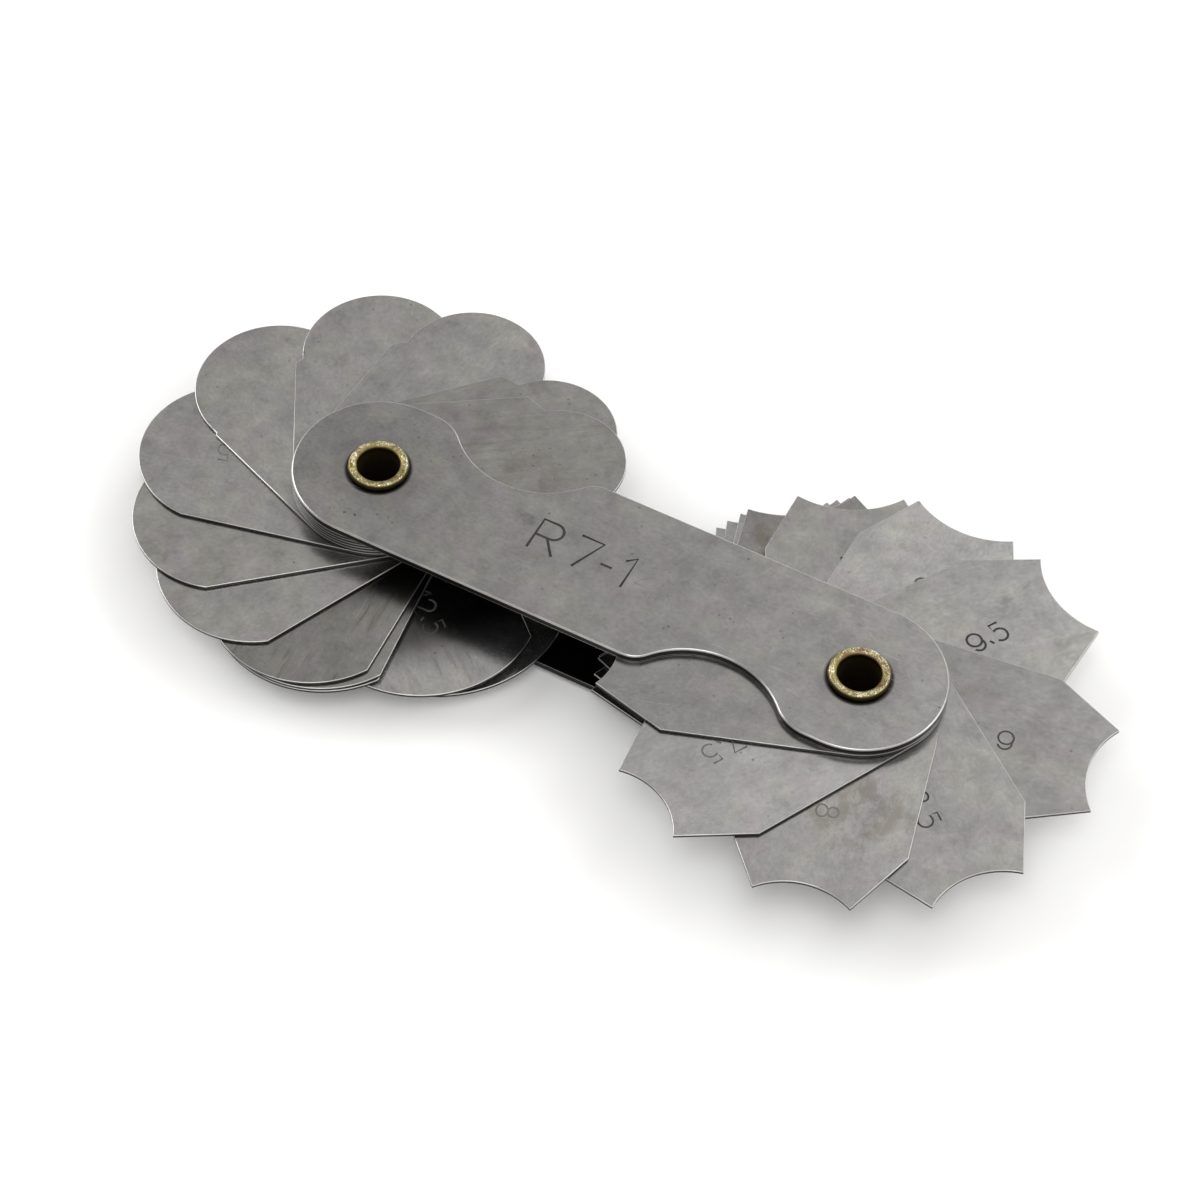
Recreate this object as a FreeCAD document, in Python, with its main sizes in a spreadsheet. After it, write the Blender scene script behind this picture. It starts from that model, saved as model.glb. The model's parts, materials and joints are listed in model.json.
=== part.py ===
import FreeCAD, Part
import math
import os

import Sketcher

# Radius gauge set: two steel side plates held by two hollow brass eyelets, with a stack of
# convex blades on one eyelet and a stack of concave blades on the other.
# Frame: millimetres, +X from the convex eyelet to the concave one, +Z up, origin midway
# between the eyelets on the outer face of the rear plate.

# Driving dimensions
SIZES = {
    # Distance between the two eyelets
    "pivot_spacing": 56.5,
    # Side plates
    "plate_width": 18.5,
    "plate_thickness": 0.9,
    "plate_edge_break": 0.12,
    # Round thumb notch in each long edge of a side plate, and the rounding of its two ends
    "notch_radius": 9.7,
    "notch_depth": 4.7,
    "notch_from_pivot": 12.65,
    "notch_inner_round": 3.0,
    "notch_outer_round": 5.0,
    # Blades
    "blade_count": 16,
    "blade_width": 18.5,
    "blade_thickness": 0.4,
    "blade_gap": 0.03,
    "first_radius": 7.0,
    "radius_rise": 0.5,
    # From the end of a folded blade to the middle of the holder
    "fold_clearance": 1.75,
    # Concave blades: depth of the arc, and length of the sloped sides behind the tips
    "concave_depth": 1.7,
    "concave_slope_length": 7.3,
    # Convex blades narrower than the sheet: straight part behind the arc, shoulder slope
    "finger_straight": 0.8,
    "shoulder_angle": 50.0,
    # Eyelets
    "eyelet_bore": 4.5,
    "eyelet_wall": 0.4,
    "lip_overhang": 0.65,
    "lip_height": 0.75,
    "lip_bevel": 0.375,
    # Radial clearances round an eyelet's tube
    "plate_hole_gap": 0.03,
    "blade_hole_gap": 0.05,
}

# Directions of the opened blades, in degrees from +X, from the smallest radius, at the
# front plate, to the largest, at the rear plate
CONVEX_FAN = (34.0, 47.0, 86.5, 119.5, 159.0, 193.5, 221.0, 245.8,
              273.5, 277.1, 276.9, 318.2, 101.0, 131.0, 329.5, 166.0)
CONCAVE_FAN = (199.5, 242.2, 283.2, 322.0, 7.0, 57.5, 89.0, 116.5,
               128.0, 129.5, 132.5, 135.0, 181.0, 184.5, 178.5, 187.0)

# Heights and radii that several pieces share
SLOT_HEIGHT = "(sizes.blade_count * (sizes.blade_thickness + sizes.blade_gap) + sizes.blade_gap)"
STACK_HEIGHT = f"(2 * sizes.plate_thickness + {SLOT_HEIGHT})"
BLADE_REACH = "(sizes.pivot_spacing / 2 - sizes.fold_clearance)"
TUBE_RADIUS = "(sizes.eyelet_bore / 2 + sizes.eyelet_wall)"
LIP_RADIUS = f"({TUBE_RADIUS} + sizes.lip_overhang)"
NOTCH_FROM_MIDDLE = "(sizes.pivot_spacing / 2 - sizes.notch_from_pivot)"

# Two measures closer than this are the same
SAME = 1e-6

# Sketcher's own numbers for the ends and the centre of a curve, and for its axes
START, END, CENTRE = 1, 2, 3
SKETCH_ORIGIN = (-1, 1)
HORIZONTAL_AXIS = -1

doc = FreeCAD.newDocument("radius_gauge")
sheet = doc.addObject("Spreadsheet::Sheet", "sizes")
for row, (alias, size) in enumerate(SIZES.items(), start=1):
    sheet.set(f"A{row}", alias)
    sheet.set(f"B{row}", str(size))
    sheet.setAlias(f"B{row}", alias)
doc.recompute()

bodies = []


def value(expression):
    """The number that an expression on the sheet's cells gives."""
    return float(sheet.evalExpression(str(expression)))


def new_body(label):
    """An empty body whose label names its file."""
    body = doc.addObject("PartDesign::Body", label)
    body.Label = label
    bodies.append(body)
    return body


def new_sketch(body, name, role="XY_Plane"):
    """An empty sketch on one of the body's own origin planes."""
    sketch = body.newObject("Sketcher::SketchObject", f"{body.Label}_{name}")
    plane = next(item for item in body.Origin.OriginFeatures if item.Role == role)
    sketch.AttachmentSupport = (plane, [""])
    sketch.MapMode = "FlatFace"
    return sketch


def bind(sketch, name, kind, parts, expression):
    """A dimension of the sketch that follows an expression on the sheet's cells."""
    index = sketch.addConstraint(Sketcher.Constraint(kind, *parts, value(expression)))
    sketch.renameConstraint(index, name)
    sketch.setExpression(f"Constraints.{name}", expression)


def join(sketch, *pairs):
    """Ends of curves that meet in a corner."""
    for first, second in pairs:
        sketch.addConstraint(Sketcher.Constraint("Coincident", *first, *second))


def blend(sketch, *pairs):
    """Ends of curves that meet with no corner."""
    for first, second in pairs:
        sketch.addConstraint(Sketcher.Constraint("Tangent", *first, *second))


def level(sketch, *lines):
    """Lines along the sketch's horizontal axis."""
    for line in lines:
        sketch.addConstraint(Sketcher.Constraint("Horizontal", line))


def line(sketch, start, end):
    return sketch.addGeometry(Part.LineSegment(FreeCAD.Vector(*start, 0), FreeCAD.Vector(*end, 0)))


def circle(sketch, centre, radius):
    shape = Part.Circle(FreeCAD.Vector(*centre, 0), FreeCAD.Vector(0, 0, 1), radius)
    return sketch.addGeometry(shape)


def arc(sketch, centre, radius, start_angle, end_angle):
    """An arc that runs anticlockwise between two angles in degrees."""
    whole = Part.Circle(FreeCAD.Vector(*centre, 0), FreeCAD.Vector(0, 0, 1), radius)
    ends = math.radians(start_angle), math.radians(end_angle)
    return sketch.addGeometry(Part.ArcOfCircle(whole, *ends))


def pad(body, sketch, thickness):
    feature = body.newObject("PartDesign::Pad", f"{body.Label}_sheet")
    feature.Profile = sketch
    feature.setExpression("Length", thickness)
    sketch.Visibility = False
    return feature


def place(body, x, z, angle=0.0):
    """Turns a body about the vertical axis, then binds its place to the sheet's cells."""
    turn = FreeCAD.Rotation(FreeCAD.Vector(0, 0, 1), angle)
    body.Placement = FreeCAD.Placement(FreeCAD.Vector(value(x), 0, value(z)), turn)
    body.setExpression(".Placement.Base.x", x)
    body.setExpression(".Placement.Base.z", z)


# Side plates
def is_upright(edge):
    return abs(edge.tangentAt(edge.FirstParameter).z) > 0.999


def upright_edges(shape, wanted):
    """Names of the upright edges nearest to the wanted places."""
    names = []
    for x, y in wanted:
        nearest = min(
            (math.hypot(edge.CenterOfMass.x - x, edge.CenterOfMass.y - y), index)
            for index, edge in enumerate(shape.Edges, start=1)
            if is_upright(edge)
        )
        names.append(f"Edge{nearest[1]}")
    return names


def round_notch_ends(body, base, name, from_middle, radius):
    """Rounds one end of each thumb notch, at a distance along the holder from its middle."""
    doc.recompute()
    half_width = value("sizes.plate_width / 2")
    corners = ((-from_middle, half_width), (from_middle, -half_width))
    feature = body.newObject("PartDesign::Fillet", f"{body.Label}_{name}")
    feature.Base = (base, upright_edges(base.Shape, corners))
    feature.setExpression("Radius", radius)
    return feature


def outline_edges(shape, height):
    """Names of a plate's outline edges at a height, without the eyelet holes."""
    hole = value(f"{TUBE_RADIUS} + sizes.plate_hole_gap")
    names = []
    for index, edge in enumerate(shape.Edges, start=1):
        flat = all(abs(vertex.Point.z - height) < SAME for vertex in edge.Vertexes)
        is_hole = isinstance(edge.Curve, Part.Circle) and abs(edge.Curve.Radius - hole) < SAME
        if flat and not is_hole:
            names.append(f"Edge{index}")
    return names


def side_plate(label, height, outer_face):
    """A plate with round ends, two eyelet holes and a thumb notch in each long edge."""
    body = new_body(label)
    outline = new_sketch(body, "outline")
    half_spacing = value("sizes.pivot_spacing / 2")
    end_radius = value("sizes.plate_width / 2")
    hole_radius = value(f"{TUBE_RADIUS} + sizes.plate_hole_gap")
    right = arc(outline, (half_spacing, 0), end_radius, -90, 90)
    top = line(outline, (half_spacing, end_radius), (-half_spacing, end_radius))
    left = arc(outline, (-half_spacing, 0), end_radius, 90, 270)
    bottom = line(outline, (-half_spacing, -end_radius), (half_spacing, -end_radius))
    holes = [circle(outline, (side * half_spacing, 0), hole_radius) for side in (1, -1)]
    blend(outline, ((right, END), (top, START)), ((top, END), (left, START)))
    blend(outline, ((left, END), (bottom, START)), ((bottom, END), (right, START)))
    level(outline, top, bottom)
    join(outline, ((holes[0], CENTRE), (right, CENTRE)), ((holes[1], CENTRE), (left, CENTRE)))
    outline.addConstraint(Sketcher.Constraint("Equal", *holes))
    ends = (left, CENTRE, right, CENTRE)
    outline.addConstraint(Sketcher.Constraint("Symmetric", *ends, *SKETCH_ORIGIN))
    bind(outline, "spacing", "DistanceX", ends, "sizes.pivot_spacing")
    bind(outline, "end", "Radius", (right,), "sizes.plate_width / 2")
    bind(outline, "hole", "Radius", (holes[0],), f"{TUBE_RADIUS} + sizes.plate_hole_gap")
    sheet_metal = pad(body, outline, "sizes.plate_thickness")
    doc.recompute()
    whole_volume = sheet_metal.Shape.Volume

    notches = new_sketch(body, "notches")
    notch_radius = value("sizes.notch_radius")
    from_middle = value(NOTCH_FROM_MIDDLE)
    centre_height = "sizes.plate_width / 2 - sizes.notch_depth + sizes.notch_radius"
    for side, name in ((1, "right"), (-1, "left")):
        place_of_centre = (side * from_middle, -side * value(centre_height))
        notch = circle(notches, place_of_centre, notch_radius)
        bind(notches, f"{name}_radius", "Radius", (notch,), "sizes.notch_radius")
        run = (notch, CENTRE, *SKETCH_ORIGIN) if side < 0 else (*SKETCH_ORIGIN, notch, CENTRE)
        bind(notches, f"{name}_x", "DistanceX", run, NOTCH_FROM_MIDDLE)
        rise = (*SKETCH_ORIGIN, notch, CENTRE) if side < 0 else (notch, CENTRE, *SKETCH_ORIGIN)
        bind(notches, f"{name}_y", "DistanceY", rise, centre_height)
    cut = body.newObject("PartDesign::Pocket", f"{label}_thumb_notches")
    cut.Profile = notches
    cut.Type = "ThroughAll"
    cut.Reversed = True
    notches.Visibility = False
    doc.recompute()
    if cut.Shape.Volume >= whole_volume:
        raise ValueError(f"{label}: the thumb notches cut nothing")

    centre_outside = value("sizes.notch_radius - sizes.notch_depth")
    half_notch = math.sqrt(notch_radius**2 - centre_outside**2)
    # The outer rounding ends before the plate's own round end begins
    room = "(sizes.notch_from_pivot^2 / sizes.notch_depth - 2 * sizes.notch_radius + sizes.notch_depth) / 2"
    outer_round = f"min(sizes.notch_outer_round; 0.99 * {room})"
    inner = round_notch_ends(body, cut, "inner_rounds", from_middle - half_notch, "sizes.notch_inner_round")
    outer = round_notch_ends(body, inner, "outer_rounds", from_middle + half_notch, outer_round)
    doc.recompute()
    edge_break = body.newObject("PartDesign::Chamfer", f"{label}_edge_break")
    edge_break.Base = (outer, outline_edges(outer.Shape, value(outer_face)))
    edge_break.setExpression("Size", "sizes.plate_edge_break")
    place(body, "0", height)


# Blades
def blade_base(sketch, side_length):
    """A blade's round pivot end, its two parallel sides and its hole."""
    half_width = value("sizes.blade_width / 2")
    pivot_end = arc(sketch, (0, 0), half_width, 90, 270)
    upper = line(sketch, (0, half_width), (side_length, half_width))
    lower = line(sketch, (side_length, -half_width), (0, -half_width))
    hole = circle(sketch, (0, 0), value(f"{TUBE_RADIUS} + sizes.blade_hole_gap"))
    join(sketch, ((pivot_end, CENTRE), SKETCH_ORIGIN), ((hole, CENTRE), SKETCH_ORIGIN))
    blend(sketch, ((pivot_end, START), (upper, START)), ((pivot_end, END), (lower, END)))
    level(sketch, upper, lower)
    bind(sketch, "pivot_end", "Radius", (pivot_end,), "sizes.blade_width / 2")
    bind(sketch, "hole", "Radius", (hole,), f"{TUBE_RADIUS} + sizes.blade_hole_gap")
    return upper, lower


def align_upright(sketch, first, second):
    """Two points that stay one above the other."""
    sketch.addConstraint(Sketcher.Constraint("Vertical", *first, *second))


def concave_outline(sketch, radius):
    """Sloped sides that end in two sharp tips, with the concave arc between them."""
    half_width = value("sizes.blade_width / 2")
    reach = value(BLADE_REACH)
    shoulder_place = f"{BLADE_REACH} - sizes.concave_slope_length"
    shoulder = value(shoulder_place)
    radius_now = value(radius)
    centre_place = f"{BLADE_REACH} - sizes.concave_depth + {radius}"
    half_angle = math.degrees(math.acos((value(centre_place) - reach) / radius_now))
    half_chord = radius_now * math.sin(math.radians(half_angle))
    upper, lower = blade_base(sketch, shoulder)
    upper_slope = line(sketch, (shoulder, half_width), (reach, half_chord))
    gauge = arc(sketch, (value(centre_place), 0), radius_now, 180 - half_angle, 180 + half_angle)
    lower_slope = line(sketch, (reach, -half_chord), (shoulder, -half_width))
    join(sketch, ((upper, END), (upper_slope, START)), ((upper_slope, END), (gauge, START)))
    join(sketch, ((gauge, END), (lower_slope, START)), ((lower_slope, END), (lower, START)))
    align_upright(sketch, (upper, END), (lower, START))
    sketch.addConstraint(Sketcher.Constraint("PointOnObject", gauge, CENTRE, HORIZONTAL_AXIS))
    align_upright(sketch, (gauge, START), (gauge, END))
    bind(sketch, "gauge", "Radius", (gauge,), radius)
    bind(sketch, "centre", "DistanceX", (*SKETCH_ORIGIN, gauge, CENTRE), centre_place)
    bind(sketch, "reach", "DistanceX", (*SKETCH_ORIGIN, gauge, START), BLADE_REACH)
    bind(sketch, "shoulder", "DistanceX", (*SKETCH_ORIGIN, upper, END), shoulder_place)


def wide_convex_outline(sketch, radius):
    """A convex arc that runs out to the blade's sides."""
    radius_now = value(radius)
    centre_place = f"{BLADE_REACH} - {radius}"
    half_angle = math.degrees(math.asin(value("sizes.blade_width / 2") / radius_now))
    corner = value(centre_place) + radius_now * math.cos(math.radians(half_angle))
    upper, lower = blade_base(sketch, corner)
    gauge = arc(sketch, (value(centre_place), 0), radius_now, -half_angle, half_angle)
    join(sketch, ((upper, END), (gauge, END)), ((gauge, START), (lower, START)))
    sketch.addConstraint(Sketcher.Constraint("PointOnObject", gauge, CENTRE, HORIZONTAL_AXIS))
    bind(sketch, "gauge", "Radius", (gauge,), radius)
    bind(sketch, "centre", "DistanceX", (*SKETCH_ORIGIN, gauge, CENTRE), centre_place)


def narrow_convex_outline(sketch, radius):
    """A finger twice the radius wide, with a half-round end, behind two sloped shoulders."""
    half_width = value("sizes.blade_width / 2")
    radius_now = value(radius)
    centre_place = f"{BLADE_REACH} - {radius}"
    root_place = f"{centre_place} - sizes.finger_straight"
    step = f"(sizes.blade_width / 2 - {radius})"
    shoulder_place = f"{root_place} - {step} / tan(sizes.shoulder_angle * 1deg)"
    centre, root, shoulder = value(centre_place), value(root_place), value(shoulder_place)
    upper, lower = blade_base(sketch, shoulder)
    upper_shoulder = line(sketch, (shoulder, half_width), (root, radius_now))
    upper_side = line(sketch, (root, radius_now), (centre, radius_now))
    gauge = arc(sketch, (centre, 0), radius_now, -90, 90)
    lower_side = line(sketch, (centre, -radius_now), (root, -radius_now))
    lower_shoulder = line(sketch, (root, -radius_now), (shoulder, -half_width))
    join(sketch, ((upper, END), (upper_shoulder, START)), ((upper_shoulder, END), (upper_side, START)))
    join(sketch, ((lower_side, END), (lower_shoulder, START)), ((lower_shoulder, END), (lower, START)))
    blend(sketch, ((upper_side, END), (gauge, END)), ((gauge, START), (lower_side, START)))
    level(sketch, upper_side, lower_side)
    align_upright(sketch, (upper, END), (lower, START))
    align_upright(sketch, (upper_side, START), (lower_side, END))
    sketch.addConstraint(Sketcher.Constraint("PointOnObject", gauge, CENTRE, HORIZONTAL_AXIS))
    bind(sketch, "gauge", "Radius", (gauge,), radius)
    bind(sketch, "centre", "DistanceX", (*SKETCH_ORIGIN, gauge, CENTRE), centre_place)
    bind(sketch, "root", "DistanceX", (*SKETCH_ORIGIN, upper_side, START), root_place)
    bind(sketch, "shoulder", "DistanceX", (*SKETCH_ORIGIN, upper, END), shoulder_place)


def convex_outline(sketch, radius):
    if value(radius) < value("sizes.blade_width / 2"):
        narrow_convex_outline(sketch, radius)
    else:
        wide_convex_outline(sketch, radius)


def blade_stack(kind, draw_outline, pivot, fan):
    """One blade for each radius, from the front plate down to the rear plate."""
    count = int(value("sizes.blade_count"))
    for index in range(count):
        radius = f"(sizes.first_radius + {index} * sizes.radius_rise)"
        label = f"{kind}_blade_r" + f"{value(radius):g}".replace(".", "_")
        body = new_body(label)
        outline = new_sketch(body, "outline")
        draw_outline(outline, radius)
        pad(body, outline, "sizes.blade_thickness")
        levels_below = f"(sizes.blade_count - {index + 1})"
        height = (
            f"sizes.plate_thickness + sizes.blade_gap"
            f" + {levels_below} * (sizes.blade_thickness + sizes.blade_gap)"
        )
        place(body, pivot, height, fan[index % len(fan)])


# Eyelets
def crest_edges(shape, heights):
    """Names of the round edges at the crests of an eyelet's lips."""
    names = []
    for index, edge in enumerate(shape.Edges, start=1):
        if isinstance(edge.Curve, Part.Circle):
            height = edge.Curve.Center.z
            if min(abs(height - wanted) for wanted in heights) < SAME:
                names.append(f"Edge{index}")
    return names


def eyelet(label, pivot):
    """A brass tube through the whole stack with a turned-over lip on each side plate."""
    body = new_body(label)
    section = new_sketch(body, "section", "XZ_Plane")
    bore, tube, lip = value("sizes.eyelet_bore / 2"), value(TUBE_RADIUS), value(LIP_RADIUS)
    stack, lip_height = value(STACK_HEIGHT), value("sizes.lip_height")
    crest_top, crest_bottom = stack + lip_height, -lip_height
    corners = [
        (bore, crest_bottom), (bore, crest_top), (lip, crest_top), (lip, stack),
        (tube, stack), (tube, 0), (lip, 0), (lip, crest_bottom),
    ]
    sides = [line(section, *ends) for ends in zip(corners, corners[1:] + corners[:1])]
    for first, second in zip(sides, sides[1:] + sides[:1]):
        join(section, ((first, END), (second, START)))
    wall, top_crest, top_side, top_seat, outside, bottom_seat, bottom_side, bottom_crest = sides
    level(section, top_crest, top_seat, bottom_seat, bottom_crest)
    for upright in (wall, top_side, outside, bottom_side):
        section.addConstraint(Sketcher.Constraint("Vertical", upright))
    section.addConstraint(Sketcher.Constraint("PointOnObject", bottom_seat, START, HORIZONTAL_AXIS))
    bind(section, "bore", "DistanceX", (*SKETCH_ORIGIN, wall, START), "sizes.eyelet_bore / 2")
    bind(section, "tube", "DistanceX", (*SKETCH_ORIGIN, outside, START), TUBE_RADIUS)
    bind(section, "top_lip", "DistanceX", (*SKETCH_ORIGIN, top_side, END), LIP_RADIUS)
    bind(section, "bottom_lip", "DistanceX", (*SKETCH_ORIGIN, bottom_side, START), LIP_RADIUS)
    bind(section, "stack", "DistanceY", (*SKETCH_ORIGIN, outside, START), STACK_HEIGHT)
    bind(section, "top_height", "DistanceY", (outside, START, top_crest, START), "sizes.lip_height")
    bind(section, "bottom_height", "DistanceY", (bottom_crest, START, outside, END), "sizes.lip_height")
    turned = body.newObject("PartDesign::Revolution", f"{label}_turned")
    turned.Profile = section
    turned.ReferenceAxis = (section, ["V_Axis"])
    turned.Angle = 360.0
    section.Visibility = False
    doc.recompute()
    bevels = body.newObject("PartDesign::Chamfer", f"{label}_lip_bevels")
    bevels.Base = (turned, crest_edges(turned.Shape, (crest_top, crest_bottom)))
    bevels.setExpression("Size", "sizes.lip_bevel")
    place(body, pivot, "0")


side_plate("rear_plate", "0", "0")
side_plate("front_plate", f"sizes.plate_thickness + {SLOT_HEIGHT}", "sizes.plate_thickness")
eyelet("convex_eyelet", "-sizes.pivot_spacing / 2")
eyelet("concave_eyelet", "sizes.pivot_spacing / 2")
blade_stack("convex", convex_outline, "-sizes.pivot_spacing / 2", CONVEX_FAN)
blade_stack("concave", concave_outline, "sizes.pivot_spacing / 2", CONCAVE_FAN)
doc.recompute()

# Checks, then one file for each piece
for item in doc.Objects:
    if "Invalid" in item.State or "Error" in item.State:
        raise ValueError(f"{item.Label} did not build: {item.State}")
for body in bodies:
    if body.Shape.isNull() or not body.Shape.isValid() or not body.Shape.Solids:
        raise ValueError(f"{body.Label} has no valid solid")

os.makedirs("parts", exist_ok=True)
for body in bodies:
    body.Shape.exportStep(f"parts/{body.Label}.step")
print(f"{len(bodies)} pieces written")
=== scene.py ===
import json
import math

import bmesh
import bpy
from mathutils import Matrix, Vector


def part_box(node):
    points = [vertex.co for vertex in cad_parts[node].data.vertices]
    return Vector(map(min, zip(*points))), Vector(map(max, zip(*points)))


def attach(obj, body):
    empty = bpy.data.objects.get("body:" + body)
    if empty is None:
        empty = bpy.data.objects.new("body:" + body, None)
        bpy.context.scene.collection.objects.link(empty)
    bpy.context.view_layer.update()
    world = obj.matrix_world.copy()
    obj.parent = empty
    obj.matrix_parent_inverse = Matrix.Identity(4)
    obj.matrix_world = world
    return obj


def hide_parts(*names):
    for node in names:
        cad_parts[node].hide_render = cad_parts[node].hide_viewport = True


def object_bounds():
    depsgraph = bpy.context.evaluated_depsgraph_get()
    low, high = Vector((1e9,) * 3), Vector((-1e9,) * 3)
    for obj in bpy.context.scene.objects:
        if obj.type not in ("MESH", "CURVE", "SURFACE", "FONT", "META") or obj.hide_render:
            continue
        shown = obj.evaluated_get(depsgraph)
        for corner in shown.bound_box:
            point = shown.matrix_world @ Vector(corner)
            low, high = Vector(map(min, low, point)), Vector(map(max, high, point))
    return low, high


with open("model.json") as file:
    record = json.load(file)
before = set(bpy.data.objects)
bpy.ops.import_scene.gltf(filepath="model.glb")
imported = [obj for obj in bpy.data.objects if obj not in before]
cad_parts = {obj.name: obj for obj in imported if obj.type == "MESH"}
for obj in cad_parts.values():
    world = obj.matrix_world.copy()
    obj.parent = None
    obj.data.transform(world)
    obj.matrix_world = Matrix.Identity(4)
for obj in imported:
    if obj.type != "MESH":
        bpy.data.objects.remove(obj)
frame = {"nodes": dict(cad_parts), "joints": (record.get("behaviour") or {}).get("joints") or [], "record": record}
cad_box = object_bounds()

MM = 0.001
IN_PLANE = (1.0, 1.0, 0.0)

# Broken edges and the welding of the sheets' meshes
WELD_DISTANCE = 0.001 * MM
FLAT_ANGLE = math.radians(1)
BLADE_EDGE = 0.06 * MM
BLADE_EDGE_STEPS = 3
PLATE_EDGE = 0.045 * MM
PLATE_EDGE_STEPS = 1
SQUARE_EDGE = math.radians(60)
CHAMFER_EDGE = math.radians(35)
SHARP_ANGLE = math.radians(28)
FLAT_COSINE = 0.999

# Struck numbers: their heights, line widths and places
BLADE_NUMBER_HEIGHT = 2.3 * MM
BLADE_LINE_RADIUS = 0.13 * MM
BLADE_NUMBER_REACH = 15.9 * MM
PLATE_NUMBER_HEIGHT = 4.15 * MM
PLATE_LINE_RADIUS = 0.15 * MM
PLATE_NUMBER_START = -9.46 * MM
PLATE_NUMBER_BASE = -1.75 * MM
PUNCH_GAP = 0.24
GROOVE_SIDES = 8

# Seeds of the pieces' clouds, pits and scratches
BLADE_SEED = 2.0
BLADE_SEED_STEP = 1.37
FRONT_SEED = 41.0
REAR_SEED = 47.0
EYELET_SEED = 5.0
EYELET_SEED_STEP = 3.0

# Camera of the photograph: its place is worked out from the point that it looks at
VIEW_AZIMUTH = math.radians(25.887)
VIEW_ELEVATION = math.radians(52.94)
VIEW_ROLL = math.radians(2.417)
VIEW_DISTANCE = 372.158 * MM
VIEW_TARGET = Vector((-0.895, -1.196, 4.24)) * MM
SENSOR_WIDTH = 36.0
FOCAL_LENGTH = 106.326
CLIP_START = 0.01
CLIP_END = 50.0


def joined_values(node, settings, values):
    """Sets a node's settings, then the values or links of its sockets, and gives the node back."""
    for name, value in settings.items():
        setattr(node, name, value)
    for name, value in values.items():
        socket = node.inputs[name]
        if isinstance(value, Socket):
            node.id_data.links.new(value.output, socket)
        else:
            socket.default_value = value
    return node


class Socket:
    """One output in a node tree. Arithmetic on it adds the nodes that work the answer out."""

    def __init__(self, output):
        self.output = output

    @classmethod
    def of(cls, tree, kind, settings=None, values=None, result=0):
        """A new node with its settings and its sockets' values, as the output named by result."""
        node = joined_values(tree.nodes.new(kind), settings or {}, values or {})
        return cls(node.outputs[result])

    def is_vector(self):
        return self.output.type in ("VECTOR", "RGBA")

    def joined(self, operation, first, second):
        """A Math node on two values, or a Vector Math node where either is a vector."""
        vectors = any(isinstance(side, tuple) or isinstance(side, Socket) and side.is_vector()
                      for side in (first, second))
        node = self.output.id_data.nodes.new("ShaderNodeVectorMath" if vectors else "ShaderNodeMath")
        node.operation = operation
        for socket, side in zip(node.inputs, (first, second)):
            if isinstance(side, Socket):
                node.id_data.links.new(side.output, socket)
            elif vectors and not isinstance(side, tuple):
                socket.default_value = (side, side, side)
            else:
                socket.default_value = side
        return Socket(node.outputs[0])

    def __add__(self, other):
        return self.joined("ADD", self, other)

    def __radd__(self, other):
        return self.joined("ADD", other, self)

    def __sub__(self, other):
        return self.joined("SUBTRACT", self, other)

    def __rsub__(self, other):
        return self.joined("SUBTRACT", other, self)

    def __mul__(self, other):
        return self.joined("MULTIPLY", self, other)

    def __rmul__(self, other):
        return self.joined("MULTIPLY", other, self)

    def __truediv__(self, other):
        return self.joined("DIVIDE", self, other)

    def __rtruediv__(self, other):
        return self.joined("DIVIDE", other, self)

    def step(self, low, high):
        """A smooth step from 0 at low to 1 at high."""
        values = {"Value": self, "From Min": low, "From Max": high, "To Min": 0.0, "To Max": 1.0}
        settings = {"interpolation_type": "SMOOTHSTEP"}
        return Socket.of(self.output.id_data, "ShaderNodeMapRange", settings, values)

    def axis(self, letter):
        """One component of a vector."""
        return Socket.of(self.output.id_data, "ShaderNodeSeparateXYZ", {}, {0: self}, result=letter)

    def length(self):
        """The length of a vector."""
        settings = {"operation": "LENGTH"}
        tree = self.output.id_data
        return Socket.of(tree, "ShaderNodeVectorMath", settings, {0: self}, result="Value")

    def size(self):
        """A value without its sign."""
        return Socket.of(self.output.id_data, "ShaderNodeMath", {"operation": "ABSOLUTE"}, {0: self})

    def mixed(self, colour, factor):
        """This colour, going over to another one by a factor."""
        node = self.output.id_data.nodes.new("ShaderNodeMix")
        node.data_type = "RGBA"
        for place, value in ((0, factor), (6, self), (7, colour)):
            if isinstance(value, Socket):
                node.id_data.links.new(value.output, node.inputs[place])
            else:
                node.inputs[place].default_value = value
        return Socket(node.outputs[2])


# Finishes


def new_finish(name):
    """An empty material and its node tree."""
    material = bpy.data.materials.new(name)
    material.use_nodes = True
    material.node_tree.nodes.clear()
    return material, material.node_tree


def shown(tree, shader_values):
    """Puts a Principled shader with these values on the material's output."""
    shader = Socket.of(tree, "ShaderNodeBsdfPrincipled", {}, shader_values)
    joined_values(tree.nodes.new("ShaderNodeOutputMaterial"), {}, {"Surface": shader})


def plain_colour(tree, colour):
    """A colour as the start of a chain of nodes."""
    start = Socket.of(tree, "ShaderNodeRGB")
    start.output.default_value = colour
    return start


def bumps(tree, height, strength, distance):
    """A normal that leans as if the surface had this height."""
    values = {"Height": height, "Strength": strength, "Distance": distance}
    return Socket.of(tree, "ShaderNodeBump", {}, values, result="Normal")


def own_place(tree, centre, turn):
    """Object coordinates in millimetres with X along the sheet and the zero at its pivot."""
    place = Socket.of(tree, "ShaderNodeTexCoord", result="Object")
    settings = {"vector_type": "TEXTURE"}
    values = {"Vector": place, "Location": centre, "Rotation": (0.0, 0.0, turn), "Scale": (MM, MM, MM)}
    return Socket.of(tree, "ShaderNodeMapping", settings, values)


# How far one step of a seed moves the noise and the spots along X, Y and Z
CLOUD_STARTS = (3.7, 7.3, 1.9)
SPOT_STARTS = (5.1, 2.3, 4.7)


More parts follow.
